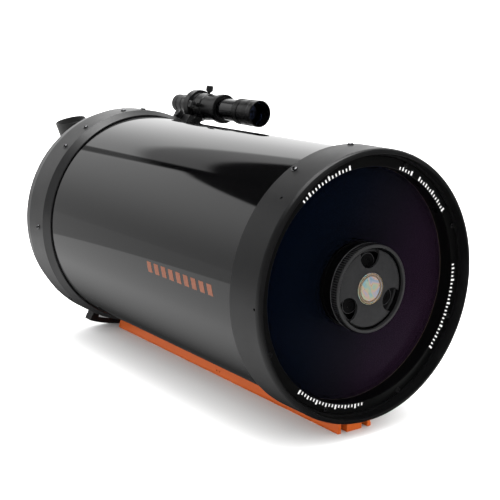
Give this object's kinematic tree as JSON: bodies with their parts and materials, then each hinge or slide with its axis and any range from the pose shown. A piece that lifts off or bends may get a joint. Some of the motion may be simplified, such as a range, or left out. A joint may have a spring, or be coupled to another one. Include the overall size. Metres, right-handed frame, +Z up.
{
  "type": "schmidt cassegrain telescope",
  "caption": "Short fat catadioptric telescope tube with corrector plate, central secondary, dovetail bar, star diagonal, eyepiece and small finder scope.",
  "frame": {"origin": "centre of the flat underside of the dovetail bar", "axes": "+Z up, away from the mount; the optical axis runs along Y with the aperture facing -Y and the eyepiece end at +Y; +X is the side that carries the finder"},
  "size_m": [0.2782, 0.6148, 0.3158],
  "materials": {
    "satin_black_cast": "satin powder coat",
    "gloss_black_tube": "gloss paint",
    "matte_black_metal": "matt anodised",
    "orange_anodised": "satin anodised",
    "screw_steel": "black oxide",
    "coated_glass": "multi-coated",
    "mirror_glass": "aluminised",
    "lens_glass": "multi-coated",
    "black_rubber": "soft matt",
    "black_plastic": "satin",
    "gasket": "matt",
    "badge": "iridescent foil",
    "bronze": "machined",
    "bright_steel": "turned"
  },
  "bodies": {
    "optical_tube": {"front_cell": "satin_black_cast", "corrector_ring": "matte_black_metal", "corrector_gasket": "gasket", "corrector_plate": "coated_glass", "retaining_ring_screws": "screw_steel", "front_cell_screws": "screw_steel", "main_tube": "gloss_black_tube", "secondary_housing": "matte_black_metal", "secondary_cover": "black_plastic", "secondary_badge": "badge", "secondary_mirror_cell": "matte_black_metal", "secondary_mirror": "mirror_glass", "secondary_baffle": "matte_black_metal", "rear_cell": "satin_black_cast", "rear_cell_screws": "screw_steel", "primary_baffle": "matte_black_metal", "rear_port_plate": "matte_black_metal", "port_plate_screws": "screw_steel", "visual_back": "matte_black_metal", "focuser_bushing": "matte_black_metal", "dovetail_bar": "orange_anodised", "dovetail_screws": "screw_steel", "rear_handle": "black_plastic", "handle_screws": "screw_steel", "finder_foot": "matte_black_metal", "finder_foot_screws": "screw_steel"},
    "secondary_ring": {"secondary_retaining_ring": "matte_black_metal"},
    "collimation_1": {"collimation_screw_1": "screw_steel"},
    "collimation_2": {"collimation_screw_2": "screw_steel"},
    "collimation_3": {"collimation_screw_3": "screw_steel"},
    "primary": {"primary_mirror": "mirror_glass", "mirror_carrier": "matte_black_metal", "mirror_clamp_ring": "matte_black_metal", "focus_nut": "bronze"},
    "focus_knob": {"focus_screw": "bright_steel", "focus_knob_core": "matte_black_metal", "focus_knob_grip": "black_rubber"},
    "coupling_ring": {"visual_back_ring": "matte_black_metal"},
    "back_thumbscrew_a": {"visual_back_thumbscrew_a": "bright_steel"},
    "back_thumbscrew_b": {"visual_back_thumbscrew_b": "bright_steel"},
    "diagonal": {"diagonal_nosepiece": "matte_black_metal", "diagonal_housing": "black_plastic", "diagonal_prism": "lens_glass", "diagonal_holder": "matte_black_metal"},
    "holder_thumbscrew": {"eyepiece_thumbscrew": "bright_steel"},
    "eyepiece": {"eyepiece_barrel": "bright_steel", "eyepiece_body": "matte_black_metal", "eyepiece_lens": "lens_glass", "eyepiece_eyecup": "black_rubber"},
    "finder_holder": {"finder_bracket": "matte_black_metal"},
    "foot_thumbscrew": {"finder_foot_thumbscrew": "black_plastic"},
    "adjust_screw_a": {"finder_adjust_screw_a": "black_plastic"},
    "adjust_screw_b": {"finder_adjust_screw_b": "black_plastic"},
    "finder_gimbal": {"finder_o_ring": "black_rubber"},
    "finder_scope": {"finder_tube": "gloss_black_tube", "finder_eyepiece": "black_plastic"},
    "finder_lock": {"finder_lock_ring": "matte_black_metal"},
    "finder_objective": {"finder_objective_cell": "matte_black_metal", "finder_objective_lens": "lens_glass"}
  },
  "joints": [
    {"name": "primary_focus", "type": "slide", "parent": "optical_tube", "child": "primary", "axis": [0, 1, 0], "range_m": [-0.0075, 0.0075]},
    {"name": "focus_knob_turn", "type": "hinge", "parent": "optical_tube", "child": "focus_knob", "pos_m": [-0.0639, 0.269, 0.12774], "axis": [0, 1, 0], "range_deg": [-3605, 3605]},
    {"name": "secondary_ring_turn", "type": "hinge", "parent": "optical_tube", "child": "secondary_ring", "pos_m": [0, -0.24, 0.151], "axis": [0, -1, 0], "range_deg": [0, 360]},
    {"name": "collimation_turn_1", "type": "hinge", "parent": "optical_tube", "child": "collimation_1", "pos_m": [-0.00089, -0.237, 0.17648], "axis": [0, -1, 0], "range_deg": [-360, 360]},
    {"name": "collimation_turn_2", "type": "hinge", "parent": "optical_tube", "child": "collimation_2", "pos_m": [0.02252, -0.237, 0.13903], "axis": [0, -1, 0], "range_deg": [-360, 360]},
    {"name": "collimation_turn_3", "type": "hinge", "parent": "optical_tube", "child": "collimation_3", "pos_m": [-0.02162, -0.237, 0.13749], "axis": [0, -1, 0], "range_deg": [-360, 360]},
    {"name": "coupling_ring_turn", "type": "hinge", "parent": "optical_tube", "child": "coupling_ring", "pos_m": [0, 0.282, 0.151], "axis": [0, 1, 0], "range_deg": [0, 360]},
    {"name": "back_thumbscrew_a_turn", "type": "hinge", "parent": "optical_tube", "child": "back_thumbscrew_a", "pos_m": [0.01471, 0.3042, 0.16571], "axis": [0.7071, 0, 0.7071], "range_deg": [0, 720]},
    {"name": "back_thumbscrew_b_turn", "type": "hinge", "parent": "optical_tube", "child": "back_thumbscrew_b", "pos_m": [-0.01471, 0.3042, 0.16571], "axis": [-0.7071, 0, 0.7071], "range_deg": [0, 720]},
    {"name": "diagonal_turn", "type": "hinge", "parent": "optical_tube", "child": "diagonal", "pos_m": [0, 0.315, 0.151], "axis": [0, 1, 0], "continuous": true},
    {"name": "holder_thumbscrew_turn", "type": "hinge", "parent": "diagonal", "child": "holder_thumbscrew", "pos_m": [-0.00736, 0.3623, 0.18419], "axis": [0, 1, 0], "range_deg": [0, 720]},
    {"name": "eyepiece_pull", "type": "slide", "parent": "diagonal", "child": "eyepiece", "axis": [-0.2164, 0, 0.9763], "range_m": [0, 0.035]},
    {"name": "finder_slide", "type": "slide", "parent": "optical_tube", "child": "finder_holder", "axis": [0, 1, 0], "range_m": [0, 0.05]},
    {"name": "foot_thumbscrew_turn", "type": "hinge", "parent": "optical_tube", "child": "foot_thumbscrew", "pos_m": [0.07262, 0.215, 0.27627], "axis": [-0.8077, 0, 0.5896], "range_deg": [0, 720]},
    {"name": "adjust_screw_a_turn", "type": "hinge", "parent": "finder_holder", "child": "adjust_screw_a", "pos_m": [0.10361, 0.195, 0.30655], "axis": [0.1908, 0, 0.9816], "range_deg": [-360, 360]},
    {"name": "adjust_screw_b_turn", "type": "hinge", "parent": "finder_holder", "child": "adjust_screw_b", "pos_m": [0.08145, 0.195, 0.29161], "axis": [-0.9816, 0, 0.1908], "range_deg": [-360, 360]},
    {"name": "finder_yaw", "type": "hinge", "parent": "finder_holder", "child": "finder_gimbal", "pos_m": [0.1, 0.158, 0.288], "axis": [0, 0, 1], "range_deg": [-1.5, 1.5]},
    {"name": "finder_pitch", "type": "hinge", "parent": "finder_gimbal", "child": "finder_scope", "pos_m": [0.1, 0.158, 0.288], "axis": [1, 0, 0], "range_deg": [-1.5, 1.5]},
    {"name": "finder_lock_turn", "type": "hinge", "parent": "finder_scope", "child": "finder_lock", "pos_m": [0.1, 0.112, 0.288], "axis": [0, -1, 0], "range_deg": [-360, 360]},
    {"name": "finder_objective_turn", "type": "hinge", "parent": "finder_scope", "child": "finder_objective", "pos_m": [0.1, 0.095, 0.288], "axis": [0, -1, 0], "range_deg": [-180, 180]}
  ],
  "couplings": [
    {"joint": "focus_knob_turn", "follows": "primary_focus", "rad_per_m": 8377.6}
  ]
}
